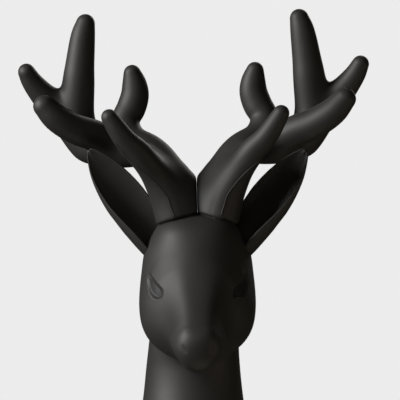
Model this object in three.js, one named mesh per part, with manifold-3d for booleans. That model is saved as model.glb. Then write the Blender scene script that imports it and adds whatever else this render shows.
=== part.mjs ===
// A moulded plastic deer bust: head and neck, two ears and two antlers.
// Millimetres, +Z up, the deer looks along -Y and its own left side is +X.
// The origin is the centre of the flat base.

import * as THREE from "three";
import { mergeVertices } from "three/addons/utils/BufferGeometryUtils.js";
import Module from "manifold-3d";

const wasm = await Module();
wasm.setup();

// Gaps between neighbouring mouldings
const SEAT_GAP = 0.5;
const SEAM_GAP = 0.4;

// Facets round each kind of piece
const HEAD_SEGMENTS = 40;
const LIMB_SEGMENTS = 12;
const EAR_SEGMENTS = 20;
const EYE_SEGMENTS = 10;

// Neck column: height, half width, half depth, centre x, centre y
const NECK = [
  [0, 45, 48, -3, 0],
  [20, 41, 42.5, -3, 3],
  [42, 38, 37, -3, 6.5],
  [62, 36, 34, -3, 8],
  [80, 34.5, 33.5, -2.5, 6],
  [110, 33, 32, -1, 3],
  [140, 31, 30, 0, -2],
  [170, 28, 26, 0, -8],
];
const NECK_TOP = 165;

// Head masses on the centre plane; squareness 2 is a true ellipsoid
const SKULL = { centre: [0, -26, 129], radii: [42.6, 47, 50], pitch: -8, squareness: 2 };
const CROWN = { centre: [0, -22, 149], radii: [39, 37, 29], pitch: 0, squareness: 2 };
const CAP = { centre: [0, -24, 162], radii: [30.5, 33, 18], pitch: 0, squareness: 2.6 };
const CHEEKS = { centre: [0, -38, 109], radii: [42.8, 37, 36], pitch: 0, squareness: 2.2 };
const LIPS = { centre: [0, -96, 87], radii: [16, 20, 15.5], pitch: 0, squareness: 2 };
const BRIDGE = { from: [0, -57, 122], to: [0, -99, 95.5], radii: [25, 13.5] };
const JAW = { from: [0, -54, 102], to: [0, -86, 90.5], radii: [28, 19.8] };
// Flats that trim the muzzle: its top, its front and the left and right sides of the jaw
const FLATS = [
  { point: [0, -69.5, 142], facing: [0, -0.695, 0.719], edge: 5 },
  { point: [0, -115, 90], facing: [0, -0.97, -0.243], edge: 14 },
  { point: [22.4, 0, 90.8], facing: [0.819, 0, -0.573], edge: 6 },
  { point: [-22.4, 0, 90.8], facing: [-0.819, 0, -0.573], edge: 6 },
];

// Eyes: almond bulges low on the brow, slanting outwards at the top
const EYE = { x: 33.3, z: 130.3, slant: 33, length: 21, width: 9, height: 2.4, sink: 0.6 };

// Rings of the head's skin, from base to nose: y, z and tilt of the ring's plane in degrees
const SKIN_STATIONS = [
  [0, 0, 0],
  [1.5, 12, 0],
  [4, 28, 0],
  [6, 44, 0],
  [8, 58, 0],
  [8, 68, 2],
  [6, 78, 9],
  [5, 88, 20],
  [3, 97, 33],
  [0, 107, 47],
  [-6, 116, 60],
  [-14, 124, 73],
  [-24, 128, 85],
  [-34, 127, 96],
  [-44, 122, 106],
  [-53, 116, 114],
  [-61, 111, 120],
  [-68, 107, 123],
  [-75, 103, 125],
  [-81, 100, 126],
  [-87, 97, 126],
  [-92, 94.5, 126],
  [-97, 92, 125],
  [-101.5, 90, 124],
  [-105.5, 88.5, 122],
  [-108.5, 87.5, 120],
];

// Antler limbs of the left side: x, y, z and radius along each centreline
const LIMBS = {
  beam: [
    [14, -26, 172, 13],
    [15, -24, 187, 13.5],
    [19, -19, 202, 14],
    [27, -13, 218.5, 14.5],
    [39.5, -5, 229.5, 14.2],
    [53.5, 5, 230.5, 13.5],
    [70, 14, 230, 13],
    [83, 20, 235, 12.5],
    [92.5, 22, 245.5, 12],
    [101.5, 20, 258, 11.7],
    [113.5, 16, 270.5, 10.3],
    [123, 11, 282.5, 8.2],
    [127.5, 7, 291, 6.6],
  ],
  root: [
    [10, -27, 172, 12],
    [8.5, -24, 190, 12],
    [9, -20, 200, 12],
    [15, -17, 206, 12],
  ],
  web: [
    [18, -28, 180, 12],
    [21, -27, 195, 12.5],
    [26.5, -26.5, 209, 12],
    [33, -26, 219, 10],
    [39, -25, 227, 7.5],
  ],
  brow_tine: [
    [14, -30, 175, 12],
    [19.5, -31, 192, 11.4],
    [30, -36, 211, 10.2],
    [41.5, -44, 227.5, 9.8],
    [51, -49, 237.5, 8.4],
    [58, -52, 247, 7.5],
    [63.5, -54, 256, 6.2],
  ],
  front_tine: [
    [58, 4, 232.5, 12.3],
    [76.5, -6, 241.5, 11.9],
    [90.5, -13, 247, 11.4],
    [104, -19, 255.5, 10.4],
    [113, -22, 265, 8.5],
  ],
  tall_tine: [
    [83, 20, 233.5, 10.3],
    [87.5, 20, 245, 12.1],
    [90, 18, 258.5, 12.9],
    [88.5, 15, 281, 12.4],
    [87, 14, 295, 11.2],
    [84.2, 13, 316, 9.5],
    [81.8, 13, 327, 7.3],
  ],
  inner_tine: [
    [50.5, 3, 237.5, 10.2],
    [53, 10, 252, 10.6],
    [48.5, 13, 261.5, 11.2],
    [45.5, 14, 271, 10.8],
    [45.5, 13.5, 279.5, 9.4],
    [47, 12, 288, 6.7],
  ],
};
// How widely the limbs blend at a fork, and how far a limb may swell there
const FORK_BLEND = 13;
const FORK_SWELL = 1.35;
// Both antlers sit a little off level, turned about the crown
const ANTLER_ROLL = -1.4;
const CROWN_HEIGHT = 182;

// Left ear's centreline from base to tip; each ear is turned a little about it, as it was pushed in
const EAR_BASE = new THREE.Vector3(33.5, -26, 164.5);
const EAR_TIP = new THREE.Vector3(82, -28, 230.5);
const EAR_TURN = { left: 12, right: -10 };
const EAR_THICKNESS = 3.6;
// Share of the ear's length, half width, depth of the hollow, and how far the outer rim curls over
const EAR_SECTIONS = [
  [-0.14, 13.9, 11, 62],
  [-0.02, 15.2, 11.5, 62],
  [0.1, 16.1, 11.5, 60],
  [0.2, 16.7, 11, 56],
  [0.3, 16.9, 10.5, 50],
  [0.42, 17.1, 9.5, 43],
  [0.55, 16.1, 8, 36],
  [0.67, 14.3, 6.5, 28],
  [0.78, 11.8, 5, 20],
  [0.88, 8.3, 3.2, 12],
  [0.95, 5.3, 1.8, 5],
  [0.985, 3, 0.8, 0],
];

const rad = THREE.MathUtils.degToRad;

// Value of one column at a place in a table whose first column rises
function lookUp(table, at, column) {
  const above = table.findIndex((row) => row[0] >= at);
  if (above === 0) return table[0][column];
  if (above < 0) return table.at(-1)[column];
  const low = table[above - 1];
  const high = table[above];
  return THREE.MathUtils.mapLinear(at, low[0], high[0], low[column], high[column]);
}

// Distance fields: negative inside
function ellipsoidField({ centre, radii, pitch, squareness }) {
  const c = Math.cos(rad(pitch));
  const s = Math.sin(rad(pitch));
  return (p) => {
    const x = p.x - centre[0];
    const dy = p.y - centre[1];
    const dz = p.z - centre[2];
    const y = c * dy + s * dz;
    const z = -s * dy + c * dz;
    const shares = [x, y, z].map((offset, i) => Math.abs(offset) / radii[i]);
    const near = shares.reduce((sum, share) => sum + share ** squareness, 0) ** (1 / squareness);
    const slope = Math.hypot(...shares.map((share, i) => share ** (squareness - 1) / radii[i]));
    return ((near - 1) * near ** (squareness - 1)) / Math.max(slope, 1e-6);
  };
}

function coneField({ from, to, radii }) {
  const line = new THREE.Line3(new THREE.Vector3(...from), new THREE.Vector3(...to));
  const nearest = new THREE.Vector3();
  return (p) => {
    const t = line.closestPointToPointParameter(p, true);
    line.at(t, nearest);
    return nearest.distanceTo(p) - THREE.MathUtils.lerp(radii[0], radii[1], t);
  };
}

function flatField({ point, facing }) {
  const outwards = new THREE.Vector3(...facing);
  const start = outwards.dot(new THREE.Vector3(...point));
  return (p) => outwards.dot(p) - start;
}

function smoothUnion(a, b, blend) {
  return (p) => {
    const da = a(p);
    const db = b(p);
    const h = Math.max(blend - Math.abs(da - db), 0) / blend;
    return Math.min(da, db) - (h ** 3 * blend) / 6;
  };
}

// What a and b both hold, with a rounded edge
function smoothOverlap(a, b, edge) {
  const outside = smoothUnion((p) => -a(p), (p) => -b(p), edge);
  return (p) => -outside(p);
}

function neckField(p) {
  const halfWidth = lookUp(NECK, p.z, 1);
  const halfDepth = lookUp(NECK, p.z, 2);
  const x = (p.x - lookUp(NECK, p.z, 3)) / halfWidth;
  const y = (p.y - lookUp(NECK, p.z, 4)) / halfDepth;
  const side = (Math.hypot(x, y) - 1) * Math.min(halfWidth, halfDepth);
  return Math.max(side, p.z - NECK_TOP);
}

function makeMuzzleField() {
  const snout = smoothUnion(coneField(BRIDGE), coneField(JAW), 12);
  const round = smoothUnion(snout, ellipsoidField(LIPS), 14);
  return FLATS.reduce((muzzle, flat) => smoothOverlap(muzzle, flatField(flat), flat.edge), round);
}

function makeHeadField() {
  const dome = smoothUnion(ellipsoidField(SKULL), ellipsoidField(CROWN), 10);
  const capped = smoothUnion(dome, ellipsoidField(CAP), 12);
  const skull = smoothUnion(capped, ellipsoidField(CHEEKS), 14);
  const head = smoothUnion(skull, makeMuzzleField(), 20);
  return smoothUnion(head, neckField, 12);
}
const headField = makeHeadField();

// Distance along a ray from inside to where the field reaches the level
function reach(field, origin, direction, level) {
  const p = new THREE.Vector3();
  const at = (t) => field(p.copy(origin).addScaledVector(direction, t)) - level;
  let inner = 0;
  let outer = 4;
  while (at(outer) < 0) {
    inner = outer;
    outer += 4;
  }
  for (let i = 0; i < 18; i += 1) {
    const middle = (inner + outer) / 2;
    if (at(middle) < 0) inner = middle;
    else outer = middle;
  }
  return outer;
}

// A sphere's grid moved onto place(row, angle); rows 0 and the last are the two poles
function wrap(segments, rows, place) {
  const geometry = new THREE.SphereGeometry(1, segments, rows);
  geometry.deleteAttribute("normal");
  geometry.deleteAttribute("uv");
  const position = geometry.attributes.position;
  const moved = new THREE.Vector3();
  for (let i = 0; i < position.count; i += 1) {
    const row = Math.floor(i / (segments + 1));
    const column = i % (segments + 1);
    place(row, ((column % segments) / segments) * 2 * Math.PI, moved);
    position.setXYZ(i, moved.x, moved.y, moved.z);
  }
  return geometry;
}

function toSolid(geometry) {
  const merged = mergeVertices(geometry, 1e-4);
  const solid = new wasm.Manifold(
    new wasm.Mesh({
      numProp: 3,
      vertProperties: new Float32Array(merged.attributes.position.array),
      triVerts: new Uint32Array(merged.index.array),
    }),
  );
  if (solid.volume() > 0) return solid;
  // a mirrored grid comes out inside out, so its triangles are turned over
  const index = merged.index.array;
  for (let i = 0; i < index.length; i += 3) [index[i], index[i + 1]] = [index[i + 1], index[i]];
  return toSolid(merged);
}

// Head and neck skin, grown outwards by level
function headSkin(level) {
  const rows = SKIN_STATIONS.length + 1;
  const centre = new THREE.Vector3();
  const direction = new THREE.Vector3();
  const geometry = wrap(HEAD_SEGMENTS, rows, (row, angle, out) => {
    if (row === 0) {
      out.set(lookUp(NECK, 0, 3), 0, 0);
      return;
    }
    const pole = row === rows;
    const [y, z, tilt] = SKIN_STATIONS[pole ? row - 2 : row - 1];
    const c = Math.cos(rad(tilt));
    const s = Math.sin(rad(tilt));
    centre.set(lookUp(NECK, z, 3), y, z);
    if (pole) direction.set(0, -s, c);
    else direction.set(Math.cos(angle), c * Math.sin(angle), s * Math.sin(angle));
    out.copy(centre).addScaledVector(direction, reach(headField, centre, direction, level));
  });
  return toSolid(geometry);
}

// Unit direction in which a field rises
function slopeOf(field, at) {
  const step = 0.05;
  const change = (x, y, z) => {
    const nudge = new THREE.Vector3(x, y, z).multiplyScalar(step);
    return field(at.clone().add(nudge)) - field(at.clone().sub(nudge));
  };
  return new THREE.Vector3(change(1, 0, 0), change(0, 1, 0), change(0, 0, 1)).normalize();
}

function eye(side) {
  const inside = new THREE.Vector3(EYE.x, -35, EYE.z);
  const forward = new THREE.Vector3(0, -1, 0);
  const skin = inside.clone().addScaledVector(forward, reach(headField, inside, forward, 0));
  const outwards = slopeOf(headField, skin);
  // the long axis lies in the skin and slants as seen from the front
  const tall = new THREE.Vector3(Math.sin(rad(EYE.slant)), 0, Math.cos(rad(EYE.slant)));
  tall.y = -tall.dot(outwards) / outwards.y;
  tall.normalize();
  const across = new THREE.Vector3().crossVectors(tall, outwards);
  const geometry = new THREE.SphereGeometry(1, EYE_SEGMENTS, EYE_SEGMENTS);
  geometry.deleteAttribute("normal");
  geometry.deleteAttribute("uv");
  geometry.scale(EYE.width / 2, EYE.length / 2, EYE.height);
  geometry.applyMatrix4(new THREE.Matrix4().makeBasis(across, tall, outwards));
  const middle = skin.addScaledVector(outwards, -EYE.sink);
  geometry.translate(middle.x, middle.y, middle.z);
  geometry.scale(side, 1, 1);
  return toSolid(geometry);
}

// Centreline and radius curves of one limb, seated on the crown
function limbCurves(points, side) {
  const seat = new THREE.Matrix4()
    .makeTranslation(0, 0, CROWN_HEIGHT)
    .multiply(new THREE.Matrix4().makeRotationY(rad(ANTLER_ROLL)))
    .multiply(new THREE.Matrix4().makeTranslation(0, 0, -CROWN_HEIGHT));
  const centres = points.map(([x, y, z]) => new THREE.Vector3(side * x, y, z).applyMatrix4(seat));
  return {
    steps: Math.ceil(points.length * 1.35),
    centre: new THREE.CatmullRomCurve3(centres),
    radius: new THREE.CatmullRomCurve3(points.map((point) => new THREE.Vector3(point[3], 0, 0))),
  };
}

function limbRadius(curves, share) {
  return curves.radius.getPoint(curves.centre.getUtoTmapping(share)).x;
}

function limbField(curves) {
  const cones = [];
  for (let step = 0; step < curves.steps; step += 1) {
    const shares = [step / curves.steps, (step + 1) / curves.steps];
    cones.push(coneField({
      from: curves.centre.getPointAt(shares[0]).toArray(),
      to: curves.centre.getPointAt(shares[1]).toArray(),
      radii: shares.map((share) => limbRadius(curves, share)),
    }));
  }
  return (p) => Math.min(...cones.map((cone) => cone(p)));
}

// Bent, tapered limb with round ends, swollen at the forks to meet the blended field
function limb(curves, field, grow) {
  const frames = curves.centre.computeFrenetFrames(curves.steps, false);
  const start = new THREE.Vector3();
  const direction = new THREE.Vector3();
  // one ring inside each round end, then the pole
  const rows = curves.steps + 4;
  const geometry = wrap(LIMB_SEGMENTS, rows, (row, angle, out) => {
    const step = THREE.MathUtils.clamp(row - 2, 0, curves.steps);
    const past = row - 2 - step;
    const turn = (past * Math.PI) / 4;
    const radius = limbRadius(curves, step / curves.steps);
    start.copy(curves.centre.getPointAt(step / curves.steps));
    direction.copy(frames.tangents[step]).multiplyScalar(Math.sin(turn));
    direction.addScaledVector(frames.normals[step], Math.cos(turn) * Math.cos(angle));
    direction.addScaledVector(frames.binormals[step], Math.cos(turn) * Math.sin(angle));
    const blended = reach(field, start, direction, 0);
    const length = Math.min(blended, radius * FORK_SWELL) + grow;
    out.copy(start).addScaledVector(direction, length);
  });
  return toSolid(geometry);
}

// Everything on the far side of the seam between the antlers
function seamBlock(side) {
  const size = 300;
  const geometry = new THREE.BoxGeometry(size, size, size);
  geometry.deleteAttribute("normal");
  geometry.deleteAttribute("uv");
  geometry.translate(side * (SEAM_GAP / 2 - size / 2), 0, 0);
  geometry.rotateY(rad(ANTLER_ROLL));
  geometry.translate(0, 0, CROWN_HEIGHT);
  return toSolid(geometry);
}

function joinedLimbs(side, grow) {
  const curves = Object.values(LIMBS).map((points) => limbCurves(points, side));
  const field = curves.map(limbField).reduce((whole, next) => smoothUnion(whole, next, FORK_BLEND));
  const limbs = curves.map((each) => limb(each, field, grow));
  return limbs.reduce((whole, next) => whole.add(next));
}

function antler(side, seat) {
  return joinedLimbs(side, 0).subtract(seamBlock(side)).subtract(seat);
}

// Cupped leaf: crescent sections along the line from base to tip
function ear(word, side, seat) {
  const axis = EAR_TIP.clone().sub(EAR_BASE);
  const length = axis.length();
  axis.normalize();
  const turn = rad(EAR_TURN[word]);
  const facing = new THREE.Vector3(-Math.sin(turn), -Math.cos(turn), 0);
  facing.addScaledVector(axis, -facing.dot(axis)).normalize();
  const across = new THREE.Vector3().crossVectors(axis, facing);
  const rows = EAR_SECTIONS.length + 1;
  const geometry = wrap(EAR_SEGMENTS, rows, (row, angle, out) => {
    const [share, halfWidth, hollow, curl] = EAR_SECTIONS[THREE.MathUtils.clamp(row - 1, 0, rows - 2)];
    const pole = row === 0 || row === rows;
    // the first half turn runs along the back from outer rim to inner rim, the second returns inside
    const backwards = angle > Math.PI;
    const passed = backwards ? 2 * Math.PI - angle : angle;
    const around = rad(-curl) + ((Math.PI + rad(curl)) * passed) / Math.PI;
    const wall = (EAR_THICKNESS / 2) * Math.sqrt(Math.abs(Math.sin(angle))) * (backwards ? -1 : 1);
    const width = pole ? 0 : (halfWidth - EAR_THICKNESS / 2 + wall) * Math.cos(around);
    const depth = pole ? 0 : (hollow + wall) * Math.sin(around);
    out.copy(EAR_BASE).addScaledVector(axis, length * (row === rows ? 1 : share));
    out.addScaledVector(across, width);
    out.addScaledVector(facing, -depth);
    out.x *= side;
  });
  return toSolid(geometry).subtract(seat).subtract(joinedLimbs(side, SEAT_GAP));
}

function toMesh(name, solid, colour, roughness) {
  const { numProp, vertProperties, triVerts } = solid.getMesh();
  const positions = [];
  for (let i = 0; i < vertProperties.length; i += numProp) {
    positions.push(vertProperties[i], vertProperties[i + 1], vertProperties[i + 2]);
  }
  const geometry = new THREE.BufferGeometry();
  geometry.setAttribute("position", new THREE.Float32BufferAttribute(positions, 3));
  geometry.setIndex(Array.from(triVerts));
  geometry.computeVertexNormals();
  const mesh = new THREE.Mesh(
    geometry,
    new THREE.MeshStandardMaterial({ color: colour, roughness, metalness: 0 }),
  );
  mesh.name = name;
  return mesh;
}

const head = headSkin(0).add(eye(1)).add(eye(-1));
const seat = headSkin(SEAT_GAP);
const deer = new THREE.Group();
deer.add(toMesh("head_and_neck", head, 0x1a1918, 0.62));
for (const [word, side] of [["left", 1], ["right", -1]]) {
  deer.add(toMesh(`${word}_ear`, ear(word, side, seat), 0x1c1b19, 0.6));
  deer.add(toMesh(`${word}_antler`, antler(side, seat), 0x181716, 0.58));
}

export default deer;
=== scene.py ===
import math
from functools import reduce

import bmesh
import bpy
import numpy as np
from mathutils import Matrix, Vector


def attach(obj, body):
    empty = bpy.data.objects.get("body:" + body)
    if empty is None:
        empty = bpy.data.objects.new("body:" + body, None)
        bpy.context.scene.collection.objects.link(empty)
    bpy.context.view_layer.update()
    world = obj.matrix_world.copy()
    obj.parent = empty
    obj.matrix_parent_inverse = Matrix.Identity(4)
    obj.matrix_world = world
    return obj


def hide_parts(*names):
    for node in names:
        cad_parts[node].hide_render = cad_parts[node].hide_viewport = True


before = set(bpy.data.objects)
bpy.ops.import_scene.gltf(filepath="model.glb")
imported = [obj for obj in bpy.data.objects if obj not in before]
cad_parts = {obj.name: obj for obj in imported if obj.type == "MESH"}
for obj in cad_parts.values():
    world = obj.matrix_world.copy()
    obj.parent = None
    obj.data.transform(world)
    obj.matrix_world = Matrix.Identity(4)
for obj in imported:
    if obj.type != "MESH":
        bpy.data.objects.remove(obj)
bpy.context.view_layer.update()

# Everything is worked out in millimetres and scaled into metres when its mesh is made.
# The deer looks along -Y, its own left side is +X, and z is 0 at the flat base.
MM = 0.001

# The groove round each antler where it is pushed into the head
GROOVE_HEIGHT = 1.6
GROOVE_DEPTH = 2.0
# How deep the antlers' and ears' feet go into the head
FOOT_SUNK = 1.0
# The seam between the antlers, and how round the mouldings' edges are
SEAM_GAP = 0.1
EDGE_ROUND = 2.4
SEAT_ROUND = 1.4

# Boxes and steps of the grids that the head and the left antler are drawn on
HEAD_BOX = ((-48, -126, -3), (48, 52, 184))
HEAD_STEP = 1.05
ANTLER_BOX = ((-3, -64, 160), (137, 40, 342))
ANTLER_STEP = 0.85

# Neck column: height, half width, half depth, centre x, centre y
NECK = [
    (0, 45, 48, -3, 0),
    (20, 41, 42.5, -3, 3),
    (42, 38, 37, -3, 6.5),
    (62, 36, 34, -3, 8),
    (80, 34.5, 33.5, -2.5, 6),
    (110, 33, 32, -1, 3),
    (140, 31, 30, 0, -2),
    (170, 28, 26, 0, -8),
]
NECK_TOP = 165

# Head masses on the centre plane; squareness 2 is a true ellipsoid
SKULL = {"centre": (0, -26, 129), "radii": (42.6, 47, 50), "pitch": -8}
CROWN = {"centre": (0, -22, 149), "radii": (39, 37, 29), "pitch": 0}
CAP = {"centre": (0, -24, 162), "radii": (30.5, 33, 18), "pitch": 0, "squareness": 2.6}
CHEEKS = {"centre": (0, -38, 109), "radii": (42.8, 37, 36), "pitch": 0, "squareness": 2.2}
BRIDGE = {"start": (0, -57, 122), "end": (0, -99, 95.5), "radii": (25, 13.5)}
JAW = {"start": (0, -54, 102), "end": (0, -86, 90.5), "radii": (28, 19.8)}
LIPS = {"centre": (0, -96, 87), "radii": (16, 20, 15.5), "pitch": 0}
# Flats that trim the muzzle: its top, its front and the jaw's left side, which is mirrored
BRIDGE_TOP = {"point": (0, -69.5, 142), "facing": (0, -0.695, 0.719)}
NOSE_FRONT = {"point": (0, -115, 90), "facing": (0, -0.97, -0.243)}
JAW_SIDE = {"point": (22.4, 0, 90.8), "facing": (0.819, 0, -0.573)}
# How softly each mass runs into the ones before it
CROWN_BLEND = 10
CAP_BLEND = 12
CHEEKS_BLEND = 14
JAW_BLEND = 12
LIPS_BLEND = 14
MUZZLE_BLEND = 20
NECK_BLEND = 12
# How round the flats' edges are
BRIDGE_EDGE = 5
NOSE_EDGE = 14
JAW_EDGE = 6

# Antler limbs of the left side: x, y, z and radius along each centreline
LIMBS = {
    "beam": [
        (14, -26, 172, 13),
        (15, -24, 187, 13.5),
        (19, -19, 202, 14),
        (27, -13, 218.5, 14.5),
        (39.5, -5, 229.5, 14.2),
        (53.5, 5, 230.5, 13.5),
        (70, 14, 230, 13),
        (83, 20, 235, 12.5),
        (92.5, 22, 245.5, 12),
        (101.5, 20, 258, 11.7),
        (113.5, 16, 270.5, 10.3),
        (123, 11, 282.5, 8.2),
        (127.5, 7, 291, 6.6),
    ],
    "root": [
        (10, -27, 172, 12),
        (8.5, -24, 190, 12),
        (9, -20, 200, 12),
        (15, -17, 206, 12),
    ],
    "web": [
        (18, -28, 180, 12),
        (21, -27, 195, 12.5),
        (26.5, -26.5, 209, 12),
        (33, -26, 219, 10),
        (39, -25, 227, 7.5),
    ],
    "brow_tine": [
        (14, -30, 175, 12),
        (19.5, -31, 192, 11.4),
        (30, -36, 211, 10.2),
        (41.5, -44, 227.5, 9.8),
        (51, -49, 237.5, 8.4),
        (58, -52, 247, 7.5),
        (63.5, -54, 256, 6.2),
    ],
    "front_tine": [
        (58, 4, 232.5, 12.3),
        (76.5, -6, 241.5, 11.9),
        (90.5, -13, 247, 11.4),
        (104, -19, 255.5, 10.4),
        (113, -22, 265, 8.5),
    ],
    "tall_tine": [
        (83, 20, 233.5, 10.3),
        (87.5, 20, 245, 12.1),
        (90, 18, 258.5, 12.9),
        (88.5, 15, 281, 12.4),
        (87, 14, 295, 11.2),
        (84.2, 13, 316, 9.5),
        (81.8, 13, 327, 7.3),
    ],
    "inner_tine": [
        (50.5, 3, 237.5, 10.2),
        (53, 10, 252, 10.6),
        (48.5, 13, 261.5, 11.2),
        (45.5, 14, 271, 10.8),
        (45.5, 13.5, 279.5, 9.4),
        (47, 12, 288, 6.7),
    ],
}
FORK_BLEND = 13
# A limb's field is worked out this far from its skin, and counts as this far away elsewhere
LIMB_MARGIN = 13
LIMB_FAR = 20.0
# Both antlers sit a little off level, turned about the crown
ANTLER_ROLL = math.radians(-1.4)
CROWN_HEIGHT = 182
# The mould's parting line up the front of the left antler: x and z, seen from the front
PARTING_LINE = [
    (17.5, 181.5),
    (20.4, 190),
    (22.3, 195.7),
    (28.2, 203.9),
    (34.8, 211.3),
    (41.6, 217.6),
    (47.3, 222.8),
    (53, 229),
    (58.8, 236.5),
]
# It runs along a low ridge that sinks by this share towards its top, with a bead of flash on it
RIDGE_HEIGHT = 0.9
RIDGE_REACH = 8
RIDGE_SINKS = 0.6
BEAD_RADIUS = 0.5
BEAD_SIDES = 6
# A thinner mould line runs along the top of each front tine
TINE_BEAD_RADIUS = 0.3

# Ears: centreline of the left one, and how far each is turned about it
EAR_BASE = np.array((33.5, -26, 164.5))
EAR_TIP = np.array((82, -28, 230.5))
EAR_TURN = {"left": math.radians(12), "right": math.radians(-10)}
EAR_THICKNESS = 3.6
# Share of the ear's length, half width, depth of the hollow, and how far the outer rim curls over
EAR_SECTIONS = [
    (-0.14, 13.9, 11, 62),
    (-0.02, 15.2, 11.5, 62),
    (0.1, 16.1, 11.5, 60),
    (0.2, 16.7, 11, 56),
    (0.3, 16.9, 10.5, 50),
    (0.42, 17.1, 9.5, 43),
    (0.55, 16.1, 8, 36),
    (0.67, 14.3, 6.5, 28),
    (0.78, 11.8, 5, 20),
    (0.88, 8.3, 3.2, 12),
    (0.95, 5.3, 1.8, 5),
    (0.985, 3, 0.8, 0),
]
EAR_ROWS = 90
EAR_COLUMNS = 96

# Left eye: its centre on the skin seen from the front, the slant of its long axis, its sizes,
# and how wide its inner side is beside the outer one
EYE = {
    "x": 32.6,
    "z": 130,
    "slant": math.radians(42),
    "half_length": 13.5,
    "half_width": 7,
    "inner": 0.45,
}
# Depth of the socket at its low and high ends, and how much deeper it is on its outer side
EYE_DEPTH_LOW = 2.1
EYE_DEPTH_HIGH = 0.63
EYE_TILT = 0.5
EYEBALL_RISE = 0.3
# Where the socket's wall and the painted shade in its hollow start and end, in distance outside the
# almond
EYE_WALL = (0.4, -2)
EYE_PAINTED_SHADE = (0, -2.5)
# Everything at the eye fades out between these distances from its middle
EYE_FADE = (30, 22)
# The lid, a low rim that comes up between these widths on the outer side
LID_HEIGHT = 0.22
LID_WIDTH = 1.1
LID_OFFSET = 0.5
LID_SIDE = (-1, 1.5)
# The brow's edge along the inner side: the step down into the eye and the rise over it
BROW_OFFSET = 0.2
BROW_DROP = 1.2
BROW_RISE = 0.7
BROW_EDGE = 0.8
BROW_DROP_REACH = 8
BROW_RISE_REACH = 9
# Heights between which the brow comes in at its low end and at its high end
BROW_LOW_END = (-14, -6)
BROW_HIGH_END = (16, 8)

# Left nostril, in the same terms
NOSTRIL = {
    "x": 10.5,
    "z": 89,
    "slant": math.radians(30),
    "half_length": 3.6,
    "half_width": 1.7,
    "inner": 1,
}
NOSTRIL_DEPTH = 0.45
NOSTRIL_WALL = (0.9, -1.3)
NOSTRIL_FADE = (12, 8)
# How pointed the ends of eyes and nostrils are, and how much fuller they are below than above
ALMOND_POINT = 0.7
ALMOND_LEAN = 0.3
# The mesh is cut finer this near to the middle of an eye and of a nostril
EYE_FINE = 18
NOSTRIL_FINE = 9

# Mould line round the lower edge of the muzzle: its middle, and where it runs in degrees
JAW_LINE = {"y": -89, "z": 90, "from": -175, "to": -5, "step": 1.5}
JAW_BEAD_RADIUS = 0.55

# The plastics' lightness and roughness, and the sizes of their rubbed patches, tints and grain
BODY_PLASTIC = {"shade": 0.026, "roughness": 0.57}
EAR_PLASTIC = {"shade": 0.028, "roughness": 0.58}
ANTLER_PLASTIC = {"shade": 0.027, "roughness": 0.58}
PATCH_SIZE = 30
PATCH_SMOOTHER = 0.04
PATCH_ROUGHER = 0.05
TINT_SIZE = 12
GRAIN_SIZE = 0.9
GRAIN_DEPTH = 0.05
# Share of the plastic's lightness that is left in the eyes' hollows, where painted shade darkens it
PAINTED_EYE_SHADE = 0.25

# Floor and backdrop, in metres
PALE = 0.84
FLOOR_RADIUS = 1.6
FLOOR_THICKNESS = 0.01
FLOOR_GAP = 0.0005
BACKDROP_RADIUS = 12

# Each light's place, aim, width, power and colour, in metres and watts
MIDDLE = (0, -0.03, 0.16)
CHIN = (0, -0.08, 0.1)
THROAT = (0, -0.05, 0.08)
LIGHTS = {
    "key": ((-1.5, -0.55, 0.82), MIDDLE, 0.9, 39, (1, 0.985, 0.99)),
    "fill": ((0.2, -1.8, 1.2), MIDDLE, 1.8, 1.6, (1, 0.95, 0.86)),
    "rim": ((0.6, 1.6, 1.0), MIDDLE, 0.8, 8, (1, 0.97, 0.93)),
    "side": ((0.6, -0.4, 0.0), THROAT, 0.4, 0.5, (1, 0.85, 0.68)),
    "bounce": ((0.1, -0.25, -0.8), CHIN, 0.5, 1.0, (1, 0.9, 0.78)),
}
ROOM_COLOUR = (0.024, 0.021, 0.017, 1)

# The photograph's view, from a little above the face; lengths in metres, the lens in millimetres
CAMERA_AZIMUTH = math.radians(-0.5)
CAMERA_ELEVATION = math.radians(3)
CAMERA_DISTANCE = 1.8
CAMERA_AIM = Vector((0.0019, -0.03, 0.192))
CAMERA_LENS = 216
CAMERA_SENSOR = 36
CAMERA_REACH = 50


# Curves and tables

def smooth_rows(points, steps):
    """Catmull-Rom rows through a table, every column alike."""
    rows = np.array(points, float)
    padded = np.vstack((2 * rows[0] - rows[1], rows, 2 * rows[-1] - rows[-2]))
    share = np.linspace(0, 1, steps, endpoint=False)[:, None]
    spans = []
    for before, start, end, after in zip(padded, padded[1:], padded[2:], padded[3:]):
        slope = end - before
        bend = 2 * before - 5 * start + 4 * end - after
        rise = 3 * start - before - 3 * end + after
        spans.append(start + 0.5 * (slope * share + bend * share**2 + rise * share**3))
    return np.vstack((*spans, rows[-1:]))


# Distance fields: negative inside, each reading a place as three arrays

def ellipsoid(place, centre, radii, pitch, squareness=2):
    """An ellipsoid, boxier where its squareness is over 2."""
    x, y, z = (place[i] - centre[i] for i in range(3))
    c, s = math.cos(math.radians(pitch)), math.sin(math.radians(pitch))
    y, z = c * y + s * z, c * z - s * y
    shares = [np.abs(offset) / radius for offset, radius in zip((x, y, z), radii)]
    near = sum(share**squareness for share in shares) ** (1 / squareness)
    pulls = [share ** (squareness - 1) / radius for share, radius in zip(shares, radii)]
    slope = np.sqrt(sum(pull**2 for pull in pulls))
    return (near - 1) * near ** (squareness - 1) / np.maximum(slope, 1e-6)


def cone(place, start, end, radii):
    """A tapered rod with round ends."""
    along = [float(b - a) for a, b in zip(start, end)]
    length = sum(a * a for a in along)
    offset = [place[i] - start[i] for i in range(3)]
    share = sum(o * a for o, a in zip(offset, along)) / length
    share = np.clip(share, 0, 1)
    away = sum((o - share * a) ** 2 for o, a in zip(offset, along))
    return np.sqrt(away) - (radii[0] + (radii[1] - radii[0]) * share)


def join(a, b, blend):
    """Union with a soft crease."""
    h = np.maximum(blend - np.abs(a - b), 0) / blend
    return np.minimum(a, b) - h**3 * blend / 6


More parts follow.
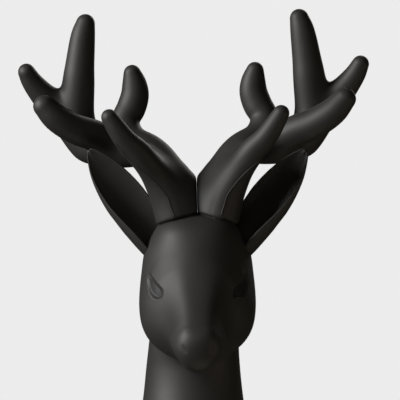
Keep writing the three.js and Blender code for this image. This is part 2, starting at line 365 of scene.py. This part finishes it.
def keep(a, b, blend):
    """What both hold, with a rounded edge."""
    return -join(-a, -b, blend)


NECK_ROWS = smooth_rows(NECK, steps=8)


def neck_field(place):
    """The neck's column, oval at every height."""
    x, y, z = place
    half_width, half_depth, centre_x, centre_y = (
        np.interp(z, NECK_ROWS[:, 0], NECK_ROWS[:, column]) for column in (1, 2, 3, 4)
    )
    around = np.sqrt(((x - centre_x) / half_width) ** 2 + ((y - centre_y) / half_depth) ** 2)
    return np.maximum((around - 1) * np.minimum(half_width, half_depth), z - NECK_TOP)


def beyond(place, point, facing):
    """How far outside a flat a place is."""
    return sum((place[i] - point[i]) * facing[i] for i in range(3))


def muzzle_field(place):
    """Bridge, jaw and lips, trimmed by the flats."""
    mirrored = (np.abs(place[0]), place[1], place[2])
    muzzle = join(cone(place, **BRIDGE), cone(place, **JAW), JAW_BLEND)
    muzzle = join(muzzle, ellipsoid(place, **LIPS), LIPS_BLEND)
    muzzle = keep(muzzle, beyond(place, **BRIDGE_TOP), BRIDGE_EDGE)
    muzzle = keep(muzzle, beyond(place, **NOSE_FRONT), NOSE_EDGE)
    return keep(muzzle, beyond(mirrored, **JAW_SIDE), JAW_EDGE)


def head_field(place):
    """Skull, muzzle and neck in one."""
    skull = join(ellipsoid(place, **SKULL), ellipsoid(place, **CROWN), CROWN_BLEND)
    skull = join(skull, ellipsoid(place, **CAP), CAP_BLEND)
    skull = join(skull, ellipsoid(place, **CHEEKS), CHEEKS_BLEND)
    face = join(skull, muzzle_field(place), MUZZLE_BLEND)
    return join(face, neck_field(place), NECK_BLEND)


def standing_head_field(place):
    """The head with its neck cut flat at the base."""
    return keep(head_field(place), -place[2], EDGE_ROUND)


LIMB_CURVES = [smooth_rows(points, steps=6) for points in LIMBS.values()]


def limb_field(place, rows):
    """One limb, a chain of tapered rods."""
    rods = [cone(place, start[:3], end[:3], (start[3], end[3])) for start, end in zip(rows, rows[1:])]
    return reduce(np.minimum, rods)


def unrolled(place, side):
    """The place in the left antler's own drawing."""
    x, y, z = place
    c, s = math.cos(ANTLER_ROLL), math.sin(ANTLER_ROLL)
    drop = z - CROWN_HEIGHT
    return side * (c * x - s * drop), y, s * x + c * drop + CROWN_HEIGHT


def rolled(own, side):
    """A place in the left antler's own drawing, put in the frame."""
    c, s = math.cos(ANTLER_ROLL), math.sin(ANTLER_ROLL)
    x, drop = side * own[0], own[2] - CROWN_HEIGHT
    return c * x + s * drop, own[1], c * drop - s * x + CROWN_HEIGHT


def fork(whole, limb):
    return join(whole, limb, FORK_BLEND)


def joined_limbs(place):
    """The left antler's limbs in its own drawing."""
    return reduce(fork, (limb_field(place, rows) for rows in LIMB_CURVES))


def antler_limbs(side):
    """The field of one side's limbs in the frame."""
    def field(place):
        return joined_limbs(unrolled(place, side))

    return field


def seated(limbs, place, side):
    """The limbs cut at the seam and above the groove, on a narrower foot sunk into the head."""
    over_seam = SEAM_GAP / 2 - unrolled(place, side)[0]
    over_head = -head_field(place)
    whole = keep(keep(limbs, over_seam, EDGE_ROUND), over_head + GROOVE_HEIGHT, SEAT_ROUND)
    foot = np.maximum(limbs + GROOVE_DEPTH, over_seam)
    return np.minimum(whole, np.maximum(foot, over_head - FOOT_SUNK))


# Surfaces of distance fields

def grid_axes(low, high, step):
    return [np.arange(a, b + step, step, dtype=np.float32) for a, b in zip(low, high)]


def open_grid(axes):
    """The axes as three arrays that numpy spreads over the whole grid."""
    x, y, z = axes
    return [x[:, None, None], y[None, :, None], z[None, None, :]]


CORNERS = [(i, j, k) for i in (0, 1) for j in (0, 1) for k in (0, 1)]


def crossed_cells(inside):
    """The cells of a grid that the surface passes through."""
    shape = np.array(inside.shape) - 1
    count = np.zeros(shape, np.int8)
    for corner in CORNERS:
        count += inside[tuple(slice(c, c + n) for c, n in zip(corner, shape))]
    return np.argwhere((count > 0) & (count < len(CORNERS)))


def net_vertices(values, axes, cells):
    """One vertex a cell, in the middle of where its edges are crossed."""
    total = np.zeros((len(cells), 3))
    crossings = np.zeros((len(cells), 1))
    for corner in CORNERS:
        for axis in range(3):
            if corner[axis]:
                continue
            far = np.array(corner)
            far[axis] = 1
            a = values[tuple((cells + corner).T)]
            b = values[tuple((cells + far).T)]
            crossed = (a < 0) != (b < 0)
            share = np.where(crossed, a / np.where(crossed, a - b, 1), 0)
            place = np.array(corner, float) + share[:, None] * (far - corner)
            total += np.where(crossed[:, None], place, 0)
            crossings += crossed[:, None]
    local = cells + total / crossings
    start = np.array([axis[0] for axis in axes])
    step = np.array([axis[1] - axis[0] for axis in axes])
    return start + local * step


def net_quads(inside, cells):
    """One quad for each edge of the grid that the surface crosses, facing outwards."""
    shape = np.array(inside.shape) - 1
    number = np.full(shape, -1, np.int32)
    number[tuple(cells.T)] = np.arange(len(cells))
    quads = []
    for axis in range(3):
        first, second = (axis + 1) % 3, (axis + 2) % 3
        here = np.moveaxis(inside, axis, 0)[:-1]
        there = np.moveaxis(inside, axis, 0)[1:]
        edge = np.moveaxis(here != there, 0, axis)
        leaving = np.moveaxis(here & ~there, 0, axis)
        places = np.argwhere(edge)
        inner = (places[:, first] > 0) & (places[:, second] > 0)
        inner &= (places[:, first] < shape[first]) & (places[:, second] < shape[second])
        places = places[inner]
        ring = []
        for back in ((1, 1), (0, 1), (0, 0), (1, 0)):
            cell = places.copy()
            cell[:, first] -= back[0]
            cell[:, second] -= back[1]
            ring.append(number[tuple(cell.T)])
        ring = np.array(ring).T
        turned = ~leaving[tuple(places.T)]
        ring[turned] = ring[turned][:, ::-1]
        quads.append(ring)
    return np.vstack(quads)


def surface_net(values, axes):
    """Vertices and quads of the zero level of values on a grid."""
    inside = values < 0
    cells = crossed_cells(inside)
    return net_vertices(values, axes, cells), net_quads(inside, cells)


def slope_of(field, points, step=0.05):
    """The field's value, unit slope and steepness at points."""
    columns = []
    for axis in range(3):
        nudge = np.zeros(3)
        nudge[axis] = step
        ahead = field(tuple((points + nudge).T))
        behind = field(tuple((points - nudge).T))
        columns.append((ahead - behind) / (2 * step))
    slope = np.array(columns).T
    steepness = np.linalg.norm(slope, axis=1, keepdims=True)
    return field(tuple(points.T)), slope / np.maximum(steepness, 1e-6), steepness[:, 0]


def skin_normals(field, points):
    return slope_of(field, points)[1]


def settle(field, points, rounds=2, least_steepness=0.3):
    """Points moved onto the zero level, by 1 mm a round at most."""
    for _ in range(rounds):
        value, normal, steepness = slope_of(field, points)
        reach = np.clip(value / np.maximum(steepness, least_steepness), -1, 1)
        points = points - normal * reach[:, None]
    return points


def soften(vertices, quads, rounds):
    """Every vertex moved to the middle of its neighbours, a few times."""
    near = np.vstack([quads[:, [k, (k + 1) % 4]] for k in range(4)])
    count = np.bincount(near[:, 0], minlength=len(vertices))
    for _ in range(rounds):
        total = [
            np.bincount(near[:, 0], weights=vertices[near[:, 1], axis], minlength=len(vertices))
            for axis in range(3)
        ]
        vertices = np.array(total).T / count[:, None]
    return vertices


def tube_faces(rows, columns, first=0):
    """The quads of a tube whose vertices go round it row by row."""
    faces = []
    for row in range(rows - 1):
        near = first + row * columns
        far = near + columns
        for column in range(columns):
            after = (column + 1) % columns
            faces.append((near + column, near + after, far + after, far + column))
    return faces


def with_bead(vertices, faces, line, normals, radius):
    """The skin with a thin round bead along a line added to its mesh."""
    across = np.cross(np.gradient(line, axis=0), normals)
    across /= np.linalg.norm(across, axis=1, keepdims=True)
    sides = []
    for side in range(BEAD_SIDES):
        turn = 2 * math.pi * side / BEAD_SIDES
        sides.append(line + radius * (math.cos(turn) * across + math.sin(turn) * normals))
    places = np.stack(sides, axis=1).reshape(-1, 3)
    tube = tube_faces(len(line), BEAD_SIDES, first=len(vertices))
    return np.vstack((vertices, places)), faces + tube


def add_mesh(name, vertices, faces):
    mesh = bpy.data.meshes.new(name)
    mesh.from_pydata((np.asarray(vertices) * MM).tolist(), [], faces)
    mesh.validate()
    mesh.polygons.foreach_set("use_smooth", np.ones(len(mesh.polygons), bool))
    piece = bpy.data.objects.new(name, mesh)
    bpy.context.scene.collection.objects.link(piece)
    return piece


# Head and neck

def refine(vertices, faces, near):
    """The mesh with the faces round the near points cut finer."""
    mesh = bmesh.new()
    for vertex in vertices:
        mesh.verts.new(vertex)
    mesh.verts.ensure_lookup_table()
    for face in faces:
        mesh.faces.new([mesh.verts[i] for i in face])
    close = np.zeros(len(vertices), bool)
    for centre, radius in near:
        close |= np.linalg.norm(vertices - np.array(centre), axis=1) < radius
    edges = [e for e in mesh.edges if close[e.verts[0].index] and close[e.verts[1].index]]
    bmesh.ops.subdivide_edges(mesh, edges=edges, cuts=1, use_grid_fill=True)
    mesh.verts.index_update()
    places = np.array([vertex.co for vertex in mesh.verts])
    faces = [[vertex.index for vertex in face.verts] for face in mesh.faces]
    mesh.free()
    return places, faces


def skin_point(x, z, start=-150.0, steps=60, least_step=0.001):
    """The front of the head at x and z, reached from a start in front of it."""
    point = np.array([[x, start, z]])
    for _ in range(steps):
        point[:, 1] += np.maximum(head_field(tuple(point.T)), least_step)
    return point[0]


def skin_axes(x, z, slant):
    """A point of the skin, its normal, and the axes of a mark slanting outwards at its top."""
    point = skin_point(x, z)
    normal = skin_normals(head_field, point[None])[0]
    tall = np.array((math.sin(slant), 0, math.cos(slant)))
    tall[1] = -(tall @ normal) / normal[1]
    tall /= np.linalg.norm(tall)
    return point, np.cross(tall, normal), tall


def mark_place(points, spec):
    """How high and how far out a point is from the mark on its side, and its distance from it."""
    centre, across, tall = skin_axes(spec["x"], spec["z"], spec["slant"])
    offset = points * (np.sign(points[:, :1]) * (1, 0, 0) + (0, 1, 1)) - centre
    return offset @ tall, offset @ across, np.abs(offset).max(axis=1)


def outside_almond(height, out, spec):
    """Distance outside an almond, and its half width on a point's side at a point's height."""
    share = height / spec["half_length"]
    half = spec["half_width"] * np.clip(1 - share**2, 0, 1) ** ALMOND_POINT * (1 - ALMOND_LEAN * share)
    half = half * np.where(out < 0, spec["inner"], 1)
    past_end = (np.abs(share) - 1) * spec["half_length"]
    from_end = np.hypot(np.maximum(past_end, 0), out)
    return np.where(past_end < 0, np.abs(out) - half, from_end), half


def ramp(value, start, end):
    """A soft rise from 0 at the start to 1 at the end."""
    share = np.clip((value - start) / (end - start), 0, 1)
    return share * share * (3 - 2 * share)


def brow_relief(height, out):
    """The brow stands over the inner side of the eye, and its edge runs on above it."""
    past_brow = out + EYE["half_width"] * EYE["inner"] + BROW_OFFSET
    below = ramp(past_brow, -BROW_EDGE, BROW_EDGE) * np.exp(-np.maximum(past_brow, 0) / BROW_DROP_REACH)
    above = ramp(past_brow, BROW_EDGE, -BROW_EDGE) * np.exp(np.minimum(past_brow, 0) / BROW_RISE_REACH)
    window = ramp(height, *BROW_LOW_END) * ramp(height, *BROW_HIGH_END)
    return (BROW_RISE * above - BROW_DROP * below) * window


def socket_relief(height, out, outside, half):
    """A sunk floor, deepest low on its outer side, with a low eyeball on it."""
    ends = (-EYE["half_length"], EYE["half_length"])
    depth = np.interp(height, ends, (EYE_DEPTH_LOW, EYE_DEPTH_HIGH))
    depth += EYE_TILT * np.clip(out / EYE["half_width"], -1, 1)
    wide = np.clip(out / np.maximum(half, 0.1), -1, 1)
    ball = EYEBALL_RISE * (1 - wide**2)
    return -ramp(outside, *EYE_WALL) * (depth - ball)


def lid_relief(out, outside):
    """A low rim along the outer side of the eye."""
    rim = np.exp(-(((outside - LID_OFFSET) / LID_WIDTH) ** 2))
    return LID_HEIGHT * rim * ramp(out, *LID_SIDE)


def eye_relief(points):
    """How far the skin stands out at the eyes, and how much painted shade their hollows get, 0 to 1."""
    height, out, away = mark_place(points, EYE)
    outside, half = outside_almond(height, out, EYE)
    relief = (
        brow_relief(height, out)
        + lid_relief(out, outside)
        + socket_relief(height, out, outside, half)
    )
    near = ramp(away, *EYE_FADE)
    return relief * near, ramp(outside, *EYE_PAINTED_SHADE) * near


def nostril_relief(points):
    height, out, away = mark_place(points, NOSTRIL)
    outside, _ = outside_almond(height, out, NOSTRIL)
    return -NOSTRIL_DEPTH * ramp(outside, *NOSTRIL_WALL) * ramp(away, *NOSTRIL_FADE)


def store_painted_eye_shade(piece, hollow):
    """Store the eyes' painted shade on the mesh as the 'hollow' attribute, which darkens the plastic's
    colour.
    """
    share = np.zeros(len(piece.data.vertices))
    share[: len(hollow)] = hollow
    piece.data.attributes.new("hollow", "FLOAT", "POINT").data.foreach_set("value", share)


def jaw_line():
    """The mould line round the lower edge of the muzzle, and the skin's normals there."""
    turn = np.radians(np.arange(JAW_LINE["from"], JAW_LINE["to"], JAW_LINE["step"]))
    out = np.array((np.cos(turn), np.zeros(len(turn)), np.sin(turn)))
    middle = np.array((0, JAW_LINE["y"], JAW_LINE["z"]))[:, None]
    distance = np.zeros(len(turn))
    for _ in range(60):
        distance -= head_field(tuple(middle + out * distance))
    points = (middle + out * distance).T
    return points, skin_normals(head_field, points)


def fine_places():
    """Middles and radii of the places where the head's mesh is cut finer."""
    places = []
    for mark, radius in ((EYE, EYE_FINE), (NOSTRIL, NOSTRIL_FINE)):
        left = skin_point(mark["x"], mark["z"])
        places += [(left, radius), (left * (-1, 1, 1), radius)]
    return places


def plain_head():
    """The head's smooth skin, finer round the eyes and nostrils."""
    axes = grid_axes(*HEAD_BOX, HEAD_STEP)
    vertices, quads = surface_net(standing_head_field(open_grid(axes)), axes)
    vertices = settle(standing_head_field, vertices)
    faces = quads.tolist()
    near = fine_places()
    for _ in range(2):
        vertices, faces = refine(vertices, faces, near)
        vertices = settle(standing_head_field, vertices)
    return vertices, faces


def make_head():
    """The head's skin with its eyes, nostrils and the jaw's mould line."""
    vertices, faces = plain_head()
    eyes, hollow = eye_relief(vertices)
    relief = eyes + nostril_relief(vertices)
    vertices = vertices + skin_normals(standing_head_field, vertices) * relief[:, None]
    vertices, faces = with_bead(vertices, faces, *jaw_line(), JAW_BEAD_RADIUS)
    piece = add_mesh("head_skin", vertices, faces)
    # The 'hollow' attribute carries painted shade that darkens the eyes' hollows
    store_painted_eye_shade(piece, hollow)
    return piece


# Antlers

def box_round(start, end, reach, axes):
    """The slices of a grid that lie within reach of a rod."""
    box = []
    for a, b, axis in zip(start, end, axes):
        box.append(slice(*np.searchsorted(axis, (min(a, b) - reach, max(a, b) + reach))))
    return tuple(box)


def limb_values(rows, axes, side):
    """One limb's field on a grid, worked out only near it."""
    x, y, z = open_grid(axes)
    values = np.full([len(axis) for axis in axes], LIMB_FAR, np.float32)
    for start, end in zip(rows, rows[1:]):
        radii = (start[3], end[3])
        places = [rolled(row[:3], side) for row in (start, end)]
        box = box_round(*places, max(radii) + LIMB_MARGIN, axes)
        part = (x[box[0]], y[:, box[1]], z[:, :, box[2]])
        values[box] = np.minimum(values[box], cone(part, *places, radii))
    return values


def antler_values(axes, side):
    limbs = reduce(fork, (limb_values(rows, axes, side) for rows in LIMB_CURVES))
    return seated(limbs, open_grid(axes), side)


def parting_points(side, start=-100.0, steps=80, least_step=0.002):
    """The parting line on the antler's skin, reached from in front, and the skin's normals there."""
    line = smooth_rows(PARTING_LINE, steps=24)
    own = np.array([line[:, 0], np.full(len(line), start), line[:, 1]])
    for _ in range(steps):
        own[1] += np.maximum(joined_limbs(own), least_step)
    points = np.array(rolled(own, side)).T
    return points, skin_normals(antler_limbs(side), points)


def tine_line(side):
    """The line along the top of the front tine, and the skin's normals there."""
    rows = smooth_rows(LIMBS["front_tine"], steps=12)
    along = np.gradient(rows[:, :3], axis=0)
    along /= np.linalg.norm(along, axis=1, keepdims=True)
    up = np.array((0, 0, 1)) - along * along[:, 2:]
    up /= np.linalg.norm(up, axis=1, keepdims=True)
    own = (rows[:, :3] + up * rows[:, 3:]).T
    points = np.array(rolled(own, side)).T
    points = settle(antler_limbs(side), points, rounds=4)
    return points, skin_normals(antler_limbs(side), points)


def vertex_normals(vertices, quads):
    corners = vertices[quads]
    facing = np.cross(corners[:, 2] - corners[:, 0], corners[:, 3] - corners[:, 1])
    total = [
        np.bincount(quads.ravel(), weights=np.repeat(facing[:, axis], 4), minlength=len(vertices))
        for axis in range(3)
    ]
    normals = np.array(total).T
    return normals / np.linalg.norm(normals, axis=1, keepdims=True)


def ridge_height(share):
    """The ridge's height at a share of the parting line's length."""
    return RIDGE_HEIGHT * (1 - RIDGE_SINKS * share)


def raise_ridge(vertices, quads, line):
    """The skin raised to a low ridge along the line."""
    nearest = np.full(len(vertices), 1e9)
    share = np.zeros(len(vertices))
    for index, point in enumerate(line):
        away = np.linalg.norm(vertices - point, axis=1)
        share = np.where(away < nearest, index / len(line), share)
        nearest = np.minimum(nearest, away)
    height = ridge_height(share) * np.clip(1 - nearest / RIDGE_REACH, 0, 1)
    return vertices + vertex_normals(vertices, quads) * height[:, None]


def make_antler(word, side):
    """The antler's skin with its mould lines."""
    low, high = ANTLER_BOX
    if side < 0:
        low, high = (-high[0], *low[1:]), (-low[0], *high[1:])
    axes = grid_axes(low, high, ANTLER_STEP)
    vertices, quads = surface_net(antler_values(axes, side), axes)
    vertices = soften(vertices, quads, rounds=2)
    line, normals = parting_points(side)
    vertices = raise_ridge(vertices, quads, line)
    share = np.arange(len(line))[:, None] / len(line)
    line = line + normals * ridge_height(share)
    vertices, faces = with_bead(vertices, quads.tolist(), line, normals, BEAD_RADIUS)
    vertices, faces = with_bead(vertices, faces, *tine_line(side), TINE_BEAD_RADIUS)
    return add_mesh(f"{word}_antler_skin", vertices, faces)


# Ears

EAR_SHAPE = smooth_rows(EAR_SECTIONS, steps=8)


def ear_axes(word):
    """The left ear's length, and its directions towards the tip, across and to the front."""
    length = np.linalg.norm(EAR_TIP - EAR_BASE)
    tipward = (EAR_TIP - EAR_BASE) / length
    turn = EAR_TURN[word]
    facing = np.array((-math.sin(turn), -math.cos(turn), 0))
    facing -= facing @ tipward * tipward
    facing /= np.linalg.norm(facing)
    return length, tipward, np.cross(tipward, facing), facing


def ear_section(share, around_share):
    """Width and depth of the ear's cupped wall, at a share of its length and of the way round it."""
    half_width, hollow, curl = (
        np.interp(share, EAR_SHAPE[:, 0], EAR_SHAPE[:, column]) for column in (1, 2, 3)
    )
    angle = 2 * np.pi * around_share
    inner_wall = angle > np.pi
    passed = np.where(inner_wall, 2 * np.pi - angle, angle)
    curl = np.radians(curl)
    around = -curl + (np.pi + curl) * passed / np.pi
    wall = EAR_THICKNESS / 2 * np.sqrt(np.abs(np.sin(angle))) * np.where(inner_wall, -1, 1)
    width = (half_width - EAR_THICKNESS / 2 + wall) * np.cos(around)
    depth = (hollow + wall) * np.sin(around)
    return width, depth


def ear_point(share, around_share, word, side):
    """A point of the ear's skin."""
    length, tipward, across, facing = ear_axes(word)
    width, depth = ear_section(share, around_share)
    point = (
        EAR_BASE
        + (share * length)[:, None] * tipward
        + width[:, None] * across
        - depth[:, None] * facing
    )
    return point * (side, 1, 1)


def ear_clearance(points, side):
    """How far points stand clear of the ear's seat in the head and against the antler."""
    place = tuple(points.T)
    return np.minimum(head_field(place), joined_limbs(unrolled(place, side))) + FOOT_SUNK


def ear_seat(columns, word, side):
    """The share of the ear's length at which each column leaves its seat, found by halving."""
    low = np.full(EAR_COLUMNS, EAR_SHAPE[0, 0])
    high = np.full(EAR_COLUMNS, 0.5)
    for _ in range(20):
        middle = (low + high) / 2
        clear = ear_clearance(ear_point(middle, columns, word, side), side) > 0
        high = np.where(clear, middle, high)
        low = np.where(clear, low, middle)
    return high


def closing_faces(start):
    """The quads that close a ring of the ear's skin wall to wall."""
    faces = []
    for column in range(EAR_COLUMNS // 2 - 1):
        other = EAR_COLUMNS - 1 - column
        faces.append((start + column, start + column + 1, start + other - 1, start + other))
    return faces


def face_outwards(piece):
    mesh = bmesh.new()
    mesh.from_mesh(piece.data)
    bmesh.ops.recalc_face_normals(mesh, faces=mesh.faces)
    mesh.to_mesh(piece.data)
    mesh.free()


def make_ear(word, side):
    """The ear's skin from its seat to its tip."""
    columns = (np.arange(EAR_COLUMNS) + 0.5) / EAR_COLUMNS
    foot = ear_seat(columns, word, side)
    tip = EAR_SHAPE[-1, 0]
    rows = []
    for row in range(EAR_ROWS):
        share = foot + (tip - foot) * row / (EAR_ROWS - 1)
        rows.append(ear_point(share, columns, word, side))
    faces = tube_faces(EAR_ROWS, EAR_COLUMNS)
    faces += closing_faces(0)
    faces += closing_faces((EAR_ROWS - 1) * EAR_COLUMNS)
    piece = add_mesh(f"{word}_ear_skin", np.vstack(rows), faces)
    face_outwards(piece)
    return piece


# Plastic

def add_noise(tree, size, detail):
    """Noise fixed to the object, with spots of about the given size in millimetres."""
    place = tree.nodes.new("ShaderNodeTexCoord")
    texture = tree.nodes.new("ShaderNodeTexNoise")
    texture.inputs["Scale"].default_value = 1 / (size * MM)
    texture.inputs["Detail"].default_value = detail
    tree.links.new(place.outputs["Object"], texture.inputs["Vector"])
    return texture.outputs["Fac"]


def add_rubbed_patches(tree, surface, roughness):
    patches = tree.nodes.new("ShaderNodeMapRange")
    patches.inputs["To Min"].default_value = roughness - PATCH_SMOOTHER
    patches.inputs["To Max"].default_value = roughness + PATCH_ROUGHER
    tree.links.new(add_noise(tree, PATCH_SIZE, detail=4), patches.inputs["Value"])
    tree.links.new(patches.outputs["Result"], surface.inputs["Roughness"])


def add_tint_and_painted_shade(tree, surface, shade):
    """A faintly uneven warm black, with painted shade darkening the eyes' hollows."""
    tint = tree.nodes.new("ShaderNodeValToRGB")
    tint.color_ramp.elements[0].color = (shade * 0.9, shade * 0.88, shade * 0.84, 1)
    tint.color_ramp.elements[1].color = (shade * 1.1, shade * 1.06, shade * 0.98, 1)
    tree.links.new(add_noise(tree, TINT_SIZE, detail=3), tint.inputs["Fac"])
    # Painted shade: the 'hollow' attribute mixes in a darker colour in the eyes' hollows
    hollow = tree.nodes.new("ShaderNodeAttribute")
    hollow.attribute_name = "hollow"
    mixed = tree.nodes.new("ShaderNodeMix")
    mixed.data_type = "RGBA"
    sockets = {socket.identifier: socket for socket in [*mixed.inputs, *mixed.outputs]}
    painted_dark = shade * PAINTED_EYE_SHADE
    sockets["B_Color"].default_value = (painted_dark, painted_dark * 0.92, painted_dark * 0.88, 1)
    tree.links.new(hollow.outputs["Fac"], sockets["Factor_Float"])
    tree.links.new(tint.outputs["Color"], sockets["A_Color"])
    tree.links.new(sockets["Result_Color"], surface.inputs["Base Color"])


def add_grain(tree, surface):
    grain = tree.nodes.new("ShaderNodeBump")
    grain.inputs["Strength"].default_value = 0.25
    grain.inputs["Distance"].default_value = GRAIN_DEPTH * MM
    tree.links.new(add_noise(tree, GRAIN_SIZE, detail=2), grain.inputs["Height"])
    tree.links.new(grain.outputs["Normal"], surface.inputs["Normal"])


def plastic(name, shade, roughness):
    """Soft black plastic with a fine grain, faint rubbed patches and painted shade in the eyes'
    hollows.
    """
    material = bpy.data.materials.new(name)
    material.use_nodes = True
    tree = material.node_tree
    surface = tree.nodes["Principled BSDF"]
    surface.inputs["Specular IOR Level"].default_value = 0.5
    add_rubbed_patches(tree, surface, roughness)
    add_tint_and_painted_shade(tree, surface, shade)
    add_grain(tree, surface)
    return material


# Stage, light and camera

def pale_surround():
    """A plain pale colour that isn't lit by the lamps."""
    pale = bpy.data.materials.new("pale surround")
    pale.use_nodes = True
    surface = pale.node_tree.nodes["Principled BSDF"]
    surface.inputs["Base Color"].default_value = (0, 0, 0, 1)
    surface.inputs["Specular IOR Level"].default_value = 0
    surface.inputs["Emission Color"].default_value = (PALE, PALE, PALE, 1)
    surface.inputs["Emission Strength"].default_value = 1
    return pale


def make_stage():
    """Floor and backdrop, seen by the camera but neither lit nor casting light or shade."""
    bpy.ops.mesh.primitive_cylinder_add(
        vertices=96,
        radius=FLOOR_RADIUS,
        depth=FLOOR_THICKNESS,
        location=(0, 0, -FLOOR_THICKNESS / 2 - FLOOR_GAP),
    )
    floor = bpy.context.object
    floor.name = "floor"
    bpy.ops.mesh.primitive_uv_sphere_add(segments=48, ring_count=24, radius=BACKDROP_RADIUS)
    backdrop = bpy.context.object
    backdrop.name = "backdrop"
    pale = pale_surround()
    for piece in (floor, backdrop):
        piece.data.materials.append(pale)
        piece.visible_diffuse = False
        piece.visible_glossy = False
        piece.visible_shadow = False


def add_light(name, place, aim, size, power, colour):
    data = bpy.data.lights.new(name, "AREA")
    data.size = size
    data.energy = power
    data.color = colour
    light = bpy.data.objects.new(name, data)
    light.location = place
    light.rotation_mode = "QUATERNION"
    light.rotation_quaternion = (Vector(aim) - Vector(place)).to_track_quat("-Z", "Y")
    bpy.context.scene.collection.objects.link(light)


def make_lights():
    for name, settings in LIGHTS.items():
        add_light(name, *settings)
    world = bpy.data.worlds.new("dim room")
    world.use_nodes = True
    world.node_tree.nodes["Background"].inputs["Color"].default_value = ROOM_COLOUR
    bpy.context.scene.world = world
    bpy.context.scene.view_settings.view_transform = "Standard"


def make_camera():
    data = bpy.data.cameras.new("camera")
    data.sensor_width = CAMERA_SENSOR
    data.lens = CAMERA_LENS
    data.clip_end = CAMERA_REACH
    camera = bpy.data.objects.new("camera", data)
    back = Vector((
        math.sin(CAMERA_AZIMUTH) * math.cos(CAMERA_ELEVATION),
        -math.cos(CAMERA_AZIMUTH) * math.cos(CAMERA_ELEVATION),
        math.sin(CAMERA_ELEVATION),
    ))
    camera.location = CAMERA_AIM + back * CAMERA_DISTANCE
    camera.rotation_mode = "QUATERNION"
    camera.rotation_quaternion = (-back).to_track_quat("-Z", "Y")
    bpy.context.scene.collection.objects.link(camera)
    bpy.context.scene.camera = camera


# The whole scene

def dress(piece, node, material):
    """The piece takes the place of its node's solid."""
    piece.data.materials.append(material)
    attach(piece, "root")
    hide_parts(node)


def dress_bust():
    body = plastic("body plastic", **BODY_PLASTIC)
    ears = plastic("ear plastic", **EAR_PLASTIC)
    antlers = plastic("antler plastic", **ANTLER_PLASTIC)
    dress(make_head(), "head_and_neck", body)
    for word, side in (("left", 1), ("right", -1)):
        dress(make_ear(word, side), f"{word}_ear", ears)
        dress(make_antler(word, side), f"{word}_antler", antlers)


dress_bust()
make_stage()
make_lights()
make_camera()
